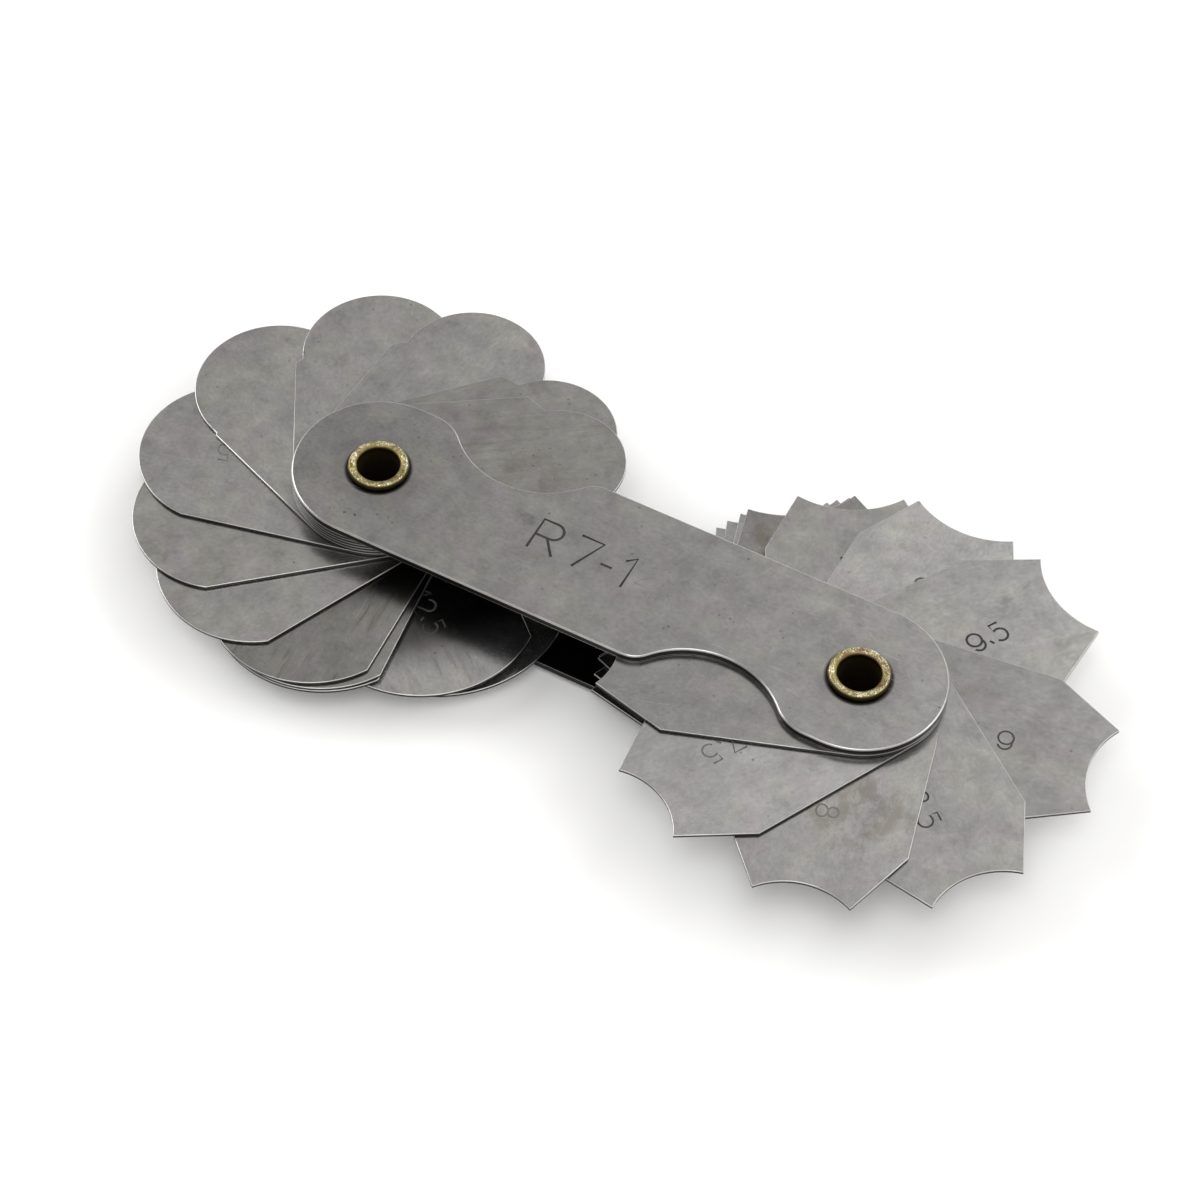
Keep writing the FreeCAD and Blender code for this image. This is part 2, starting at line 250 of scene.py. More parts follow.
def cloud(tree, place, size, seed, detail=3.0, roughness=0.55, stretch=(1.0, 1.0, 1.0), lean=0.0):
    """Noise from 0 to 1 whose patches are about size millimetres across, drawn out by stretch."""
    scale = tuple(1 / (size * share) for share in stretch)
    start = tuple(seed * share for share in CLOUD_STARTS)
    values = {"Vector": place, "Location": start, "Rotation": (0.0, 0.0, lean), "Scale": scale}
    moved = Socket.of(tree, "ShaderNodeMapping", {"vector_type": "POINT"}, values)
    values = {"Vector": moved, "Scale": 1.0, "Detail": detail, "Roughness": roughness}
    return Socket.of(tree, "ShaderNodeTexNoise", {"noise_dimensions": "3D"}, values, result="Fac")


def spots(tree, place, spacing, seed, size):
    """Sparse small spots: 1 inside a spot and 0 outside."""
    moved = place + tuple(seed * share for share in SPOT_STARTS)
    values = {"Vector": moved, "Scale": 1 / spacing, "Randomness": 1.0}
    distance = Socket.of(tree, "ShaderNodeTexVoronoi", {"feature": "F1"}, values, result="Distance")
    return 1 - distance.step(0.5 * size / spacing, size / spacing)


# Colours of the steel, its stains, its painted shade, its sheared walls (partly painted shade) and its edges
# (partly painted highlight)
STEEL_COOL = (0.428, 0.424, 0.424, 1.0)
STEEL_WARM = (0.440, 0.434, 0.410, 1.0)
STEEL_ROSE = (0.438, 0.420, 0.422, 1.0)
STAIN_BROWN = (0.200, 0.172, 0.135, 1.0)
# painted shade: a near-black put on faces that lie in shade near the pivots and between the plates
SHADE_DARK = (0.018, 0.017, 0.015, 1.0)
GRIME_AND_SHADOW_DARK = (0.045, 0.041, 0.036, 1.0)
PIT_DARK = (0.085, 0.078, 0.070, 1.0)
SCRATCH_BRIGHT = (0.72, 0.71, 0.69, 1.0)
SHEARED_BRIGHT = (0.42, 0.41, 0.395, 1.0)
SHEARED_TORN_AND_SHADE = (0.020, 0.019, 0.017, 1.0)
EDGE_BURNISH_AND_SHEEN = (0.60, 0.59, 0.575, 1.0)

# The torn band of a sheared wall, partly its rough fracture zone and partly painted shade, as shares of the
# sheet's thickness from its rear face
BLADE_TORN_AND_SHADE = (-1.0, 0.74)
PLATE_TORN_AND_SHADE = (0.10, 0.92)
BAND_BLEND = 0.05

# How far a face leans from a wall (0) to a flat (1): walls end, edges lie between, flats begin
WALL_LEAN = (0.15, 0.30)
FLAT_LEAN = (0.97, 0.99)
SHADED_LEAN = (0.6, 0.9)

# Old oil and painted shadow round the eyelets, and painted shade on the blades' round ends and near the front
# plate: distances in mm from the eyelet's axis
LIP_RADIUS_MM = 3.3
SHADOW_SHIFT = (0.07, -0.15)
GRIME_AND_SHADOW_RIM_MM = (0.05, 0.50)
GRIME_AND_SHADOW_RIM = 0.92
GRIME_HALO_MM = 3.5
GRIME_HALO = 0.16
ROUND_END_MM = (9.4, 11.0)
RIM_SHADE = 0.6
FILM_FADE_MM = 6.0
FILM_SHADE = 0.8
STAIN_REACH_MM = (2.0, 9.0)


def ring_grime_and_shadow(place, centres):
    """A dark rim of old oil and painted shadow round each of these points, set a little off centre towards the
    shadowed side, with a fainter halo of old oil.
    """
    grime = 0.0
    for x in centres:
        away = (place - (x + SHADOW_SHIFT[0], SHADOW_SHIFT[1], 0.0)) * IN_PLANE
        distance = away.length()
        rim = 1 - distance.step(LIP_RADIUS_MM + GRIME_AND_SHADOW_RIM_MM[0], LIP_RADIUS_MM + GRIME_AND_SHADOW_RIM_MM[1])
        halo = 1 - distance.step(LIP_RADIUS_MM, LIP_RADIUS_MM + GRIME_HALO_MM)
        grime = grime + rim * GRIME_AND_SHADOW_RIM + halo * GRIME_HALO
    return grime


def steel_finish(name, node, centre, turn, seed, tone=1.0, warmth=0.0, stain=0.0,
                 stain_at=(14.0, 0.0), pits=0.3, scores=0.0, shade_reach=0.0, eyelets=(),
                 shaded_side=0.0, torn_and_shade_from_to=BLADE_TORN_AND_SHADE, edge_gloss=0.5):
    """Satin sheet steel: cloudy tint, grain, pits, hair scratches, stains, painted shade and sheared walls, with
    painted shade in their torn band and on their rear edges and a painted highlight on their other edges.
    """
    material, tree = new_finish(name)
    place = own_place(tree, centre, turn)
    low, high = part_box(node)
    broad = cloud(tree, place, 7.0, seed, 2.0)
    patches = cloud(tree, place, 2.2, seed + 1, 4.0, 0.62)
    grain = cloud(tree, place, 0.34, seed + 2, 2.0, 0.7, (1.4, 1.0, 1.0), 0.3)
    speckle = cloud(tree, place, 0.11, seed + 3, 1.0)
    streaks = cloud(tree, place, 0.30, seed + 4, 2.0, 0.6, (20.0, 1.0, 1.0), 0.12)

    tinted = plain_colour(tree, STEEL_COOL).mixed(STEEL_WARM, (broad + warmth).step(0.42, 0.62))
    tinted = tinted.mixed(STEEL_ROSE, cloud(tree, place, 4.5, seed + 10, 2.0).step(0.52, 0.64))
    smudge = cloud(tree, place, 3.0, seed + 8, 5.0, 0.66).step(0.53, 0.70)
    value = tone * (1.02 + 0.38 * (broad - 0.5) + 0.50 * (patches - 0.5) + 0.32 * (grain - 0.5)
                    + 0.08 * (speckle - 0.5) + 0.05 * (streaks - 0.5) - 0.14 * smudge)
    colour = tinted * value

    fade = cloud(tree, place, 2.6, seed + 5, 5.0, 0.70, (1.6, 1.0, 1.0))
    offset = place - (stain_at[0], stain_at[1], (low.z + high.z) / 2 / MM)
    near = 1 - offset.length().step(*STAIN_REACH_MM)
    brown = (fade + 0.16 * near).step(0.56, 0.74) * (0.2 + 0.8 * near) * stain
    colour = colour.mixed(STAIN_BROWN, brown)
    if scores:
        scored = cloud(tree, place, 0.8, seed + 9, 2.0, 0.6, (9.0, 1.0, 1.0), 0.12).step(0.50, 0.72)
        scored = scored * cloud(tree, place, 5.0, seed + 11, 2.0).step(0.42, 0.58)
        colour = colour.mixed(STAIN_BROWN, scored * scores)
    if eyelets:
        # painted shadow and old oil: a dark rim round each eyelet's lip, set off centre, with a faint halo
        colour = colour.mixed(GRIME_AND_SHADOW_DARK, ring_grime_and_shadow(place, eyelets))
        rim_shade = 0.0
    else:
        from_pivot = (place * IN_PLANE).length()
        rim_shade = (1 - from_pivot.step(*ROUND_END_MM)) * RIM_SHADE
        if shade_reach:
            # painted shade: faces near the pivot, which lie in the front plate's shade, darken out to the given
            # reach
            shade_film = 1 - from_pivot.step(shade_reach - FILM_FADE_MM, shade_reach)
            colour = colour.mixed(SHADE_DARK, shade_film * FILM_SHADE)

    pit_place = cloud(tree, place, 4.0, seed + 6, 2.0).step(0.62 - 0.25 * pits, 0.80)
    dark = spots(tree, place, 1.15, seed, 0.19) * pit_place * min(1.0, 0.5 + pits)
    colour = colour.mixed(PIT_DARK, dark * 0.8)
    hair = cloud(tree, place, 0.20, seed + 7, 1.0, 0.5, (34.0, 1.0, 1.0), -0.5).step(0.735, 0.79)
    colour = colour.mixed(SCRATCH_BRIGHT, hair * 0.25)

    lean_up = Socket.of(tree, "ShaderNodeTexCoord", result="Normal").axis("Z")
    lean = lean_up.size()
    wall = 1 - lean.step(*WALL_LEAN)
    edge = lean.step(*WALL_LEAN) - lean.step(*FLAT_LEAN)
    rise = (place.axis("Z") - low.z / MM) / ((high.z - low.z) / MM)
    band_low, band_high = torn_and_shade_from_to
    torn_and_shade = (rise.step(band_low - BAND_BLEND, band_low + BAND_BLEND)
            - rise.step(band_high - BAND_BLEND, band_high + BAND_BLEND))
    # painted shade: the edge roundings on the rear side are darkened to near-black
    under_side = 1.0 if shaded_side > 0 else -1.0
    under = (lean_up * under_side).step(*WALL_LEAN) * edge
    # walls: near-black over the torn band, which is partly the rough fracture zone and partly painted shade of the
    # gap below
    colour = colour.mixed(SHEARED_BRIGHT, wall * 0.8).mixed(SHEARED_TORN_AND_SHADE, wall * torn_and_shade)
    # painted highlight, partly real burnish: the edge roundings are lightened by edge_gloss, then the rear-side
    # ones get painted shade
    colour = colour.mixed(EDGE_BURNISH_AND_SHEEN, edge * edge_gloss).mixed(SHEARED_TORN_AND_SHADE, under)
    # painted shade on the walls and edges of the blades' round ends, where they lie stacked round the eyelet
    colour = colour.mixed(SHADE_DARK, (wall + edge) * rim_shade)
    if shaded_side:
        # painted shade: the face that looks towards the other plate is made nearly black
        inner = (lean_up * shaded_side).step(*SHADED_LEAN)
        colour = colour.mixed(SHADE_DARK, inner * 0.9)

    roughness = (0.23 + 0.10 * (patches - 0.5) + 0.08 * (grain - 0.5) + 0.15 * brown + 0.15 * wall
                 + 0.08 * edge)
    relief = 0.6 * grain + 0.4 * speckle + 0.2 * streaks - 2.0 * dark
    bump = bumps(tree, relief, 0.07, 0.02 * MM)
    shown(tree, {"Base Color": colour, "Metallic": 1.0, "Roughness": roughness, "Normal": bump})
    return material


STRUCK_DARK = (0.05, 0.048, 0.045, 1.0)
STRUCK_METAL = 0.35


def struck_finish(name, tone=1.0, worn_from_to=None):
    """The bottom of a struck number, dark with old dirt that a range along X, in mm, wears away."""
    material, tree = new_finish(name)
    place = own_place(tree, (0.0, 0.0, 0.0), 0.0)
    dirt = cloud(tree, place, 0.5, 11.0, 3.0)
    colour = plain_colour(tree, STRUCK_DARK) * (tone * (0.55 + 0.9 * dirt))
    metal = STRUCK_METAL
    if worn_from_to:
        worn = place.axis("X").step(*worn_from_to)
        colour = colour.mixed(STEEL_WARM, worn * 0.55)
        metal = STRUCK_METAL + (1 - STRUCK_METAL) * worn
    shown(tree, {"Base Color": colour, "Metallic": metal, "Roughness": 0.55 + 0.25 * dirt})
    return material


# Colours of the brass, and how far below a lip's crest, in mm, its grime and painted shade lie
BRASS_DULL = (0.228, 0.185, 0.068, 1.0)
BRASS_BRIGHT = (0.97, 0.91, 0.68, 1.0)
BRASS_BROWN = (0.210, 0.135, 0.070, 1.0)
BRASS_GRIME_AND_SHADE = (0.035, 0.024, 0.012, 1.0)
CREST_MM = 0.30
FOOT_MM = (0.26, 0.08)
BORE_MM = (1.1, 0.50)
BORE_WALL_MM = (2.3, 2.5)


def brass_finish(name, centre, mid_height, lip_rise, seed):
    """Dulled brass, worn to bright specks on the lips' crests, with grime and painted shade down the lips' outer
    flanks and down the bore.
    """
    material, tree = new_finish(name)
    place = own_place(tree, centre, 0.0)
    blotch = cloud(tree, place, 0.9, seed, 4.0, 0.62)
    speck = cloud(tree, place, 0.16, seed + 1, 3.0, 0.75)
    rise = (place.axis("Z") - mid_height / MM).size()
    top = lip_rise / MM
    crest = rise.step(top - CREST_MM, top)
    radius = (place * IN_PLANE).length()
    brown = cloud(tree, place, 2.5, seed + 2, 2.0).step(0.53, 0.66)
    colour = plain_colour(tree, BRASS_DULL).mixed(BRASS_BROWN, brown) * (0.62 + 0.80 * blotch)
    worn = (0.66 * speck + 0.28 * blotch + 0.20 * crest).step(0.65, 0.75)
    colour = colour.mixed(BRASS_BRIGHT, worn * (0.2 + 0.8 * crest))
    # painted shade, partly grime: the lip's outer flank and the bore below the mouth are darkened
    foot = 1 - rise.step(top - FOOT_MM[0], top - FOOT_MM[1])
    depth = (1 - rise.step(top - BORE_MM[0], top - BORE_MM[1])) * (1 - radius.step(*BORE_WALL_MM))
    colour = colour.mixed(BRASS_GRIME_AND_SHADE, foot * 0.95).mixed(BRASS_GRIME_AND_SHADE, depth * 0.95)
    roughness = 0.36 + 0.24 * speck + 0.3 * depth - 0.1 * worn
    bump = bumps(tree, speck + 0.6 * blotch, 0.25, 0.05 * MM)
    shown(tree, {"Base Color": colour, "Metallic": 1.0, "Roughness": roughness, "Normal": bump})
    return material


# Punched lettering: single strokes in a cell one unit high


def arc(centre, radii, start, end, steps=14):
    """Points along an ellipse's arc between two angles in degrees."""
    angles = [math.radians(start + (end - start) * i / steps) for i in range(steps + 1)]
    return [(centre[0] + radii[0] * math.cos(a), centre[1] + radii[1] * math.sin(a)) for a in angles]


CELL = 0.64
HALF = CELL / 2

# Every character is its width and its strokes; a closed stroke ends at its first point
PUNCHES = {
    "0": (CELL, [arc((HALF, 0.5), (HALF, 0.5), 90, 450, 28)]),
    "1": (0.30, [[(0.0, 0.80), (0.24, 1.0), (0.24, 0.0)]]),
    "2": (CELL, [arc((HALF, 0.70), (HALF, 0.30), 165, -35) + [(0.0, 0.0), (CELL, 0.0)]]),
    "3": (CELL, [arc((HALF, 0.75), (0.28, 0.25), 150, -80), arc((HALF, 0.27), (HALF, 0.27), 80, -150)]),
    "4": (CELL, [[(0.50, 0.0), (0.50, 1.0), (0.0, 0.30), (CELL, 0.30)]]),
    "5": (CELL, [[(0.50, 1.0), (0.05, 1.0), (0.09, 0.61)] + arc((0.28, 0.34), (0.34, 0.34), 124, -140)]),
    "7": (CELL, [[(0.0, 1.0), (CELL, 1.0), (0.20, 0.0)]]),
    "8": (CELL, [arc((HALF, 0.76), (0.26, 0.24), 0, 360, 20),
                 arc((HALF, 0.26), (HALF, 0.26), 0, 360, 22)]),
    "9": (0.70, [arc((0.35, 0.65), (0.348, 0.348), 0, 360, 24),
                 arc((0.385, 0.354), (0.315, 0.33), 27, -150, 12)]),
    ".": (0.12, [[(0.0, 0.27), (0.12, 0.06)]]),
    "-": (0.32, [[(0.0, 0.42), (0.32, 0.42)]]),
    "R": (0.70, [[(0.0, 0.0), (0.0, 1.0), (0.40, 1.0)] + arc((0.40, 0.74), (0.26, 0.26), 90, -90, 10)
                 + [(0.0, 0.48)],
                 [(0.34, 0.48), (0.70, 0.0)]]),
}


def even_pens(text):
    """Where each character starts, in character heights, for a line centred on zero."""
    length = sum(PUNCHES[letter][0] for letter in text) + PUNCH_GAP * (len(text) - 1)
    pens = [-length / 2]
    for letter in text[:-1]:
        pens.append(pens[-1] + PUNCHES[letter][0] + PUNCH_GAP)
    return pens


def struck_strokes(name, text, height, place, pens, lifts):
    """A curve object with the strokes of a line of text, moved to its place by a matrix."""
    curve = bpy.data.curves.new(name, "CURVE")
    curve.dimensions = "3D"
    for letter, pen, lift in zip(text, pens, lifts):
        for stroke in PUNCHES[letter][1]:
            closed = math.dist(stroke[0], stroke[-1]) < 1e-6
            points = stroke[:-1] if closed else stroke
            spline = curve.splines.new("POLY")
            spline.points.add(len(points) - 1)
            spline.use_cyclic_u = closed
            for point, (x, y) in zip(spline.points, points):
                spot = place @ Vector(((pen + x) * height, (y - 0.5) * height, lift))
                point.co = (*spot, 1.0)
    strokes = bpy.data.objects.new(name, curve)
    bpy.context.scene.collection.objects.link(strokes)
    return strokes


# Node trees that shape the pieces


def new_shape_tree(name, inputs):
    """A Geometry Nodes tree with a geometry in and out and these named inputs, and their identifiers."""
    tree = bpy.data.node_groups.new(name, "GeometryNodeTree")
    tree.is_modifier = True
    tree.interface.new_socket("Geometry", in_out="INPUT", socket_type="NodeSocketGeometry")
    tree.interface.new_socket("Geometry", in_out="OUTPUT", socket_type="NodeSocketGeometry")
    for label, kind in inputs.items():
        tree.interface.new_socket(label, in_out="INPUT", socket_type=kind)
    entry = tree.nodes.new("NodeGroupInput")
    return tree, {socket.name: Socket(socket) for socket in entry.outputs if socket.name}


def number_punch_tree():
    """Strikes round-bottomed grooves along strokes into the geometry and gives their faces a finish."""
    inputs = {"Strokes": "NodeSocketObject", "Line Radius": "NodeSocketFloat",
              "Finish": "NodeSocketMaterial"}
    tree, entry = new_shape_tree("number_punch", inputs)
    values = {"Object": entry["Strokes"]}
    strokes = Socket.of(tree, "GeometryNodeObjectInfo", {}, values, result="Geometry")
    values = {"Resolution": GROOVE_SIDES, "Radius": entry["Line Radius"]}
    round_line = Socket.of(tree, "GeometryNodeCurvePrimitiveCircle", {}, values)
    values = {"Curve": strokes, "Profile Curve": round_line, "Fill Caps": True}
    punch = Socket.of(tree, "GeometryNodeCurveToMesh", {}, values)
    settings = {"data_type": "BOOLEAN", "domain": "FACE"}
    values = {"Geometry": punch, "Name": "struck", "Value": True}
    marked = Socket.of(tree, "GeometryNodeStoreNamedAttribute", settings, values)
    values = {"Mesh 1": entry["Geometry"], "Mesh 2": marked, "Self Intersection": True}
    settings = {"operation": "DIFFERENCE", "solver": "EXACT"}
    cut = Socket.of(tree, "GeometryNodeMeshBoolean", settings, values)
    real = Socket.of(tree, "GeometryNodeRealizeInstances", {}, {"Geometry": cut})
    settings = {"data_type": "BOOLEAN"}
    groove = Socket.of(tree, "GeometryNodeInputNamedAttribute", settings, {"Name": "struck"})
    values = {"Geometry": real, "Selection": groove, "Material": entry["Finish"]}
    done = Socket.of(tree, "GeometryNodeSetMaterial", {}, values)
    joined_values(tree.nodes.new("NodeGroupOutput"), {}, {"Geometry": done})
    return tree


def rolled_eyelet_tree():
    """Turns a section round the eyelet's axis and presses small dents into its lips."""
    inputs = {"Section": "NodeSocketObject", "Steps": "NodeSocketInt", "Dent Depth": "NodeSocketFloat",
              "Dent Size": "NodeSocketFloat", "Seed": "NodeSocketFloat", "Finish": "NodeSocketMaterial"}
    tree, entry = new_shape_tree("rolled_eyelet", inputs)
    values = {"Object": entry["Section"]}
    section = Socket.of(tree, "GeometryNodeObjectInfo", {}, values, result="Geometry")
    values = {"Resolution": entry["Steps"], "Radius": TURN_RADIUS}
    turn = Socket.of(tree, "GeometryNodeCurvePrimitiveCircle", {}, values)
    tube = Socket.of(tree, "GeometryNodeCurveToMesh", {}, {"Curve": turn, "Profile Curve": section})
    place = Socket.of(tree, "GeometryNodeInputPosition")
    values = {"Vector": place, "W": entry["Seed"], "Scale": 1 / entry["Dent Size"], "Detail": 2.0}
    field = Socket.of(tree, "ShaderNodeTexNoise", {"noise_dimensions": "4D"}, values, result="Fac")
    normal = Socket.of(tree, "GeometryNodeInputNormal")
    offset = normal * (field.step(0.35, 0.75) * entry["Dent Depth"] * -1.0)
    dented = Socket.of(tree, "GeometryNodeSetPosition", {}, {"Geometry": tube, "Offset": offset})
    real = Socket.of(tree, "GeometryNodeRealizeInstances", {}, {"Geometry": dented})
    values = {"Geometry": real, "Material": entry["Finish"]}
    done = Socket.of(tree, "GeometryNodeSetMaterial", {}, values)
    joined_values(tree.nodes.new("NodeGroupOutput"), {}, {"Geometry": done})
    return tree


def set_inputs(modifier, values):
    """Sets a Geometry Nodes modifier's inputs through their identifiers."""
    for item in modifier.node_group.interface.items_tree:
        if item.item_type == "SOCKET" and item.in_out == "INPUT" and item.name in values:
            modifier[item.identifier] = values[item.name]


def settle(piece):
    """Turns a piece with its modifiers into a plain mesh and takes the modifiers off."""
    bpy.context.view_layer.update()
    shaped = piece.evaluated_get(bpy.context.evaluated_depsgraph_get())
    mesh = bpy.data.meshes.new_from_object(shaped)
    piece.modifiers.clear()
    piece.data = mesh
    mesh.shade_smooth()
    mesh.set_sharp_from_angle(angle=SHARP_ANGLE)
    for face in mesh.polygons:
        face.use_smooth = abs(face.normal.z) < FLAT_COSINE


# Sheets: the front plate and the blades


def welded_copy(node, name):
    """A piece with a node's own shape: its loose triangles welded and its flats made whole."""
    mesh = frame["nodes"][node].data.copy()
    mesh.name = name
    work = bmesh.new()
    work.from_mesh(mesh)
    bmesh.ops.remove_doubles(work, verts=work.verts, dist=WELD_DISTANCE)
    bmesh.ops.dissolve_limit(work, angle_limit=FLAT_ANGLE, verts=work.verts, edges=work.edges)
    for face in work.faces:
        face.material_index = 0
    work.to_mesh(mesh)
    work.free()
    mesh.materials.clear()
    piece = bpy.data.objects.new(name, mesh)
    bpy.context.scene.collection.objects.link(piece)
    return piece


def broken_edges(piece, width, steps, angle):
    """A small rounding along every edge that is sharper than an angle."""
    bevel = piece.modifiers.new("broken_edges", "BEVEL")
    bevel.width = width
    bevel.segments = steps
    bevel.limit_method = "ANGLE"
    bevel.angle_limit = angle
    bevel.offset_type = "OFFSET"
    bevel.use_clamp_overlap = True


def struck_sheet(node, name, body, finish, groove, text, height, line_radius, place, pens, lifts, edge):
    """A sheet that stands for a node, with its edges broken and its marking struck into its top face."""
    piece = welded_copy(node, name)
    piece.data.materials.append(finish)
    broken_edges(piece, *edge)
    strokes = struck_strokes(name + "_strokes", text, height, place, pens, lifts)
    punch = piece.modifiers.new("number_punch", "NODES")
    punch.node_group = number_punch
    set_inputs(punch, {"Strokes": strokes, "Line Radius": line_radius, "Finish": groove})
    settle(piece)
    bpy.data.objects.remove(strokes)
    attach(piece, body)
    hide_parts(node)
    return piece


def flat_centre(node):
    """The middle of a node's faces, weighed by their area."""
    mesh = frame["nodes"][node].data
    total = sum(face.area for face in mesh.polygons)
    return sum((face.center * face.area for face in mesh.polygons), Vector()) / total


# How each blade's look departs from plain sheet steel; its tone is partly painted light and shade. Places and the
# painted shade film's reach are in mm from the eyelet's axis, along and across the blade.
BLADE_LOOKS = {
    "convex_blade_r7": dict(tone=0.92, warmth=0.24, stain=0.25, stain_at=(16.0, -3.0), pits=1.0,
                            scores=0.2),
    "convex_blade_r7_5": dict(tone=0.96, warmth=0.14, stain=0.2, stain_at=(22.0, -6.0), pits=1.0,
                              scores=0.15),
    "convex_blade_r8": dict(tone=1.20, warmth=0.03),
    "convex_blade_r8_5": dict(tone=1.24, warmth=0.03, pits=0.8),
    "convex_blade_r9": dict(tone=1.26, warmth=0.06, pits=0.5),
    "convex_blade_r9_5": dict(tone=1.27, warmth=0.03, pits=0.5),
    "convex_blade_r10": dict(tone=1.20, warmth=0.14),
    "convex_blade_r10_5": dict(tone=1.19, warmth=0.06),
    "convex_blade_r11": dict(tone=0.81, warmth=0.24, stain=0.35, pits=0.6, scores=0.7, shade_reach=17.0),
    "convex_blade_r11_5": dict(tone=0.90, warmth=0.08, shade_reach=19.0),
    "convex_blade_r12": dict(tone=0.90, warmth=0.05, pits=0.6, shade_reach=22.0),
    "convex_blade_r12_5": dict(tone=1.28, pits=1.0, scores=0.3, shade_reach=24.0),
    "convex_blade_r14": dict(tone=1.6),
    "concave_blade_r7": dict(tone=0.90, warmth=0.05),
    "concave_blade_r7_5": dict(tone=1.16, warmth=-0.08),
    "concave_blade_r8": dict(tone=1.05, warmth=0.06, stain=0.55, stain_at=(15.0, 3.5)),
    "concave_blade_r8_5": dict(tone=0.93),
    # concave r9's stain near the pivot is painted shade: the dark wedge beside the stack
    "concave_blade_r9": dict(tone=0.82, stain=0.4, stain_at=(8.0, 2.0)),
    "concave_blade_r9_5": dict(tone=0.97),
    "concave_blade_r10": dict(tone=1.13),
    "concave_blade_r10_5": dict(tone=0.95, warmth=0.05),
    "concave_blade_r11": dict(tone=0.76, warmth=0.15, stain=0.7, stain_at=(22.0, 5.0), pits=0.9,
                              scores=1.0),
}

# Blades that lie with their number to the rear plate
NUMBERED_BEHIND = ("convex_blade_r7", "convex_blade_r7_5", "convex_blade_r8", "convex_blade_r8_5",
                   "convex_blade_r9", "concave_blade_r7")

# Numbers struck a little off their place: shifts along and across the blade in mm, tilt in degrees
NUMBER_SLIPS = {
    "concave_blade_r7_5": (0.3, -1.15, -2.0),
    "concave_blade_r8": (0.0, 0.3, 2.0),
    "concave_blade_r8_5": (0.0, -0.62, -3.0),
    "concave_blade_r9_5": (-0.1, -0.47, 1.0),
    "concave_blade_r9": (0.05, -0.28, -2.0),
    "convex_blade_r9_5": (0.0, -0.1, 3.0),
}

# Numbers struck less deep: how far above the face the punch stopped, in mm
NUMBER_LIFTS = {"convex_blade_r9_5": 0.08, "concave_blade_r7_5": 0.07, "concave_blade_r8": 0.07,
                "concave_blade_r8_5": 0.05, "concave_blade_r9": 0.05}

# Numbers whose dirt is worn out of the strokes: how much lighter than the others they are
NUMBER_TONES = {"convex_blade_r9_5": 3.0, "concave_blade_r7_5": 2.8, "concave_blade_r8": 3.5,
                "concave_blade_r8_5": 1.2, "concave_blade_r9": 1.4, "concave_blade_r10": 3.0,
                "concave_blade_r10_5": 2.5, "convex_blade_r12_5": 1.1}


def blade(joint, order):
    """One gauge blade with its radius struck in, read from the eyelet outwards."""
    body = joint["child"]
    node = frame["record"]["behaviour"]["bodies"][body][0]
    pivot = Vector(joint["pos_m"])
    axis = flat_centre(node) - pivot
    turn = math.atan2(axis.y, axis.x)
    low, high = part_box(node)
    seed = BLADE_SEED + BLADE_SEED_STEP * order
    finish = steel_finish("steel_" + body, node, tuple(pivot), turn, seed, **BLADE_LOOKS.get(node, {}))
    text = node.split("_r")[1].replace("_", ".")
    along, across, tilt = NUMBER_SLIPS.get(node, (0.0, 0.0, 0.0))
    level = low.z if node in NUMBERED_BEHIND else high.z
    place = (Matrix.Translation((pivot.x, pivot.y, level)) @ Matrix.Rotation(turn, 4, "Z")
             @ Matrix.Translation((BLADE_NUMBER_REACH + along * MM, across * MM, 0.0))
             @ Matrix.Rotation(math.radians(tilt), 4, "Z"))
    if node in NUMBERED_BEHIND:
        place = place @ Matrix.Rotation(math.pi, 4, "X")
    lift = NUMBER_LIFTS.get(node, 0.0) * MM
    groove = struck_finish("struck_" + body, NUMBER_TONES[node]) if node in NUMBER_TONES else struck
    piece = struck_sheet(node, node + "_steel", body, finish, groove, text, BLADE_NUMBER_HEIGHT,
                         BLADE_LINE_RADIUS, place, even_pens(text), [lift] * len(text),
                         (BLADE_EDGE, BLADE_EDGE_STEPS, SQUARE_EDGE))


# The plate's marking: where each character starts, in character heights, how much too high its punch
# stopped, and where along X, in mm, its dirt is worn away
PLATE_TEXT = "R7-14.5"
PLATE_PENS = [0.0, 1.075, 1.894, 2.422, 2.918, 3.834, 4.11]
PLATE_LIFTS = [0.0, 0.0, 0.02 * MM, 0.03 * MM, 0.12 * MM, 0.13 * MM, 0.138 * MM]
PLATE_WORN_MM = (1.6, 4.5)


def front_plate():
    """The front side plate with the range of radii struck in, its last figures hardly marked."""
    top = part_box("front_plate")[1].z
    place = Matrix.Translation((PLATE_NUMBER_START, PLATE_NUMBER_BASE + PLATE_NUMBER_HEIGHT / 2, top))
    finish = steel_finish("steel_front_plate", "front_plate", (0.0, 0.0, 0.0), 0.0, FRONT_SEED,
                          tone=0.92, pits=0.9, eyelets=eyelet_places, shaded_side=-1.0,
                          torn_and_shade_from_to=PLATE_TORN_AND_SHADE, edge_gloss=0.25)
    groove = struck_finish("struck_plate_range", 1.0, PLATE_WORN_MM)
    piece = struck_sheet("front_plate", "front_plate_steel", "holder", finish, groove, PLATE_TEXT,
                         PLATE_NUMBER_HEIGHT, PLATE_LINE_RADIUS, place, PLATE_PENS, PLATE_LIFTS,
                         (PLATE_EDGE, PLATE_EDGE_STEPS, CHAMFER_EDGE))


def rear_plate():
    """The rear side plate keeps its own mesh and gets its steel."""
    plate = frame["nodes"]["rear_plate"]
    plate.data.materials.clear()
    finish = steel_finish("steel_rear_plate", "rear_plate", (0.0, 0.0, 0.0), 0.0, REAR_SEED,
                          tone=0.90, pits=0.5, eyelets=eyelet_places, shaded_side=1.0,
                          torn_and_shade_from_to=PLATE_TORN_AND_SHADE, edge_gloss=0.15)
    plate.data.materials.append(finish)


# Eyelets

